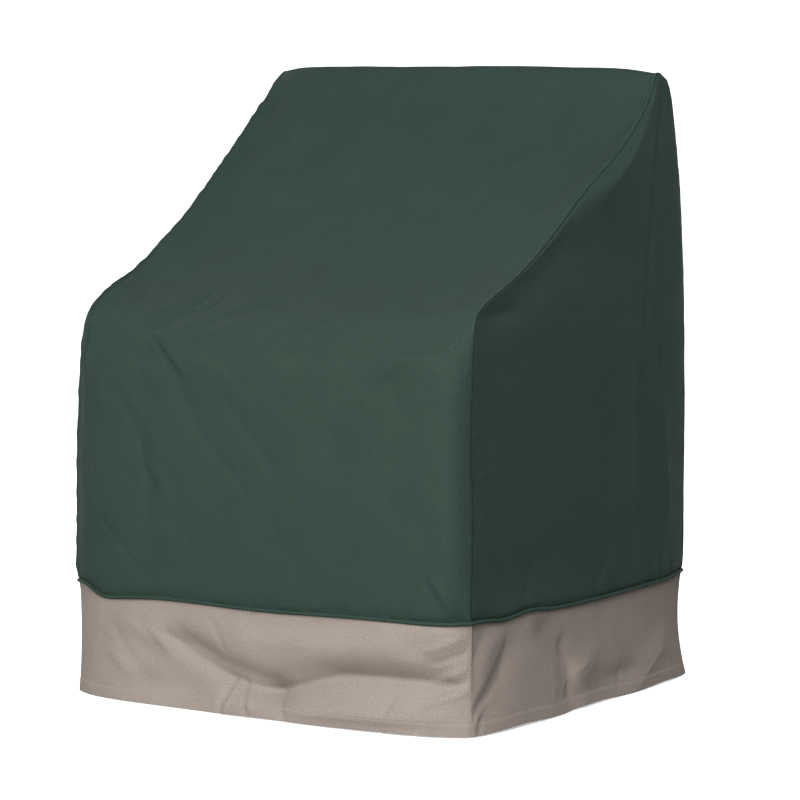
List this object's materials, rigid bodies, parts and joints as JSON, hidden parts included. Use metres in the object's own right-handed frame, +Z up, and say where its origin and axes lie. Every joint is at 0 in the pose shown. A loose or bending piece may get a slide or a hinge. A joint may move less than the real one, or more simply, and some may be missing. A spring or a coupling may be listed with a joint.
{
  "type": "garden chair cover",
  "caption": "Fitted cloth cover for a high-backed garden chair, with a sloping front, pointed side panels and a contrasting skirt below corded piping.",
  "frame": {"origin": "on the ground, in the middle of the skirt's corners", "axes": "+Z up, -Y towards the cover's low front, +X towards its right side as seen from the front"},
  "size_m": [0.7913, 0.7739, 1.0335],
  "materials": {
    "green_cloth": "matt coated woven polyester, dark green",
    "taupe_cloth": "matt coated woven polyester, taupe",
    "piping": "matt coated woven polyester over a cord, dark green"
  },
  "bodies": {
    "root": {"centre_panel": "green_cloth", "side_panel_right": "green_cloth", "side_panel_left": "green_cloth", "piping": "piping", "band_front": "taupe_cloth", "band_right": "taupe_cloth", "band_back": "taupe_cloth", "band_left": "taupe_cloth"}
  },
  "joints": []
}
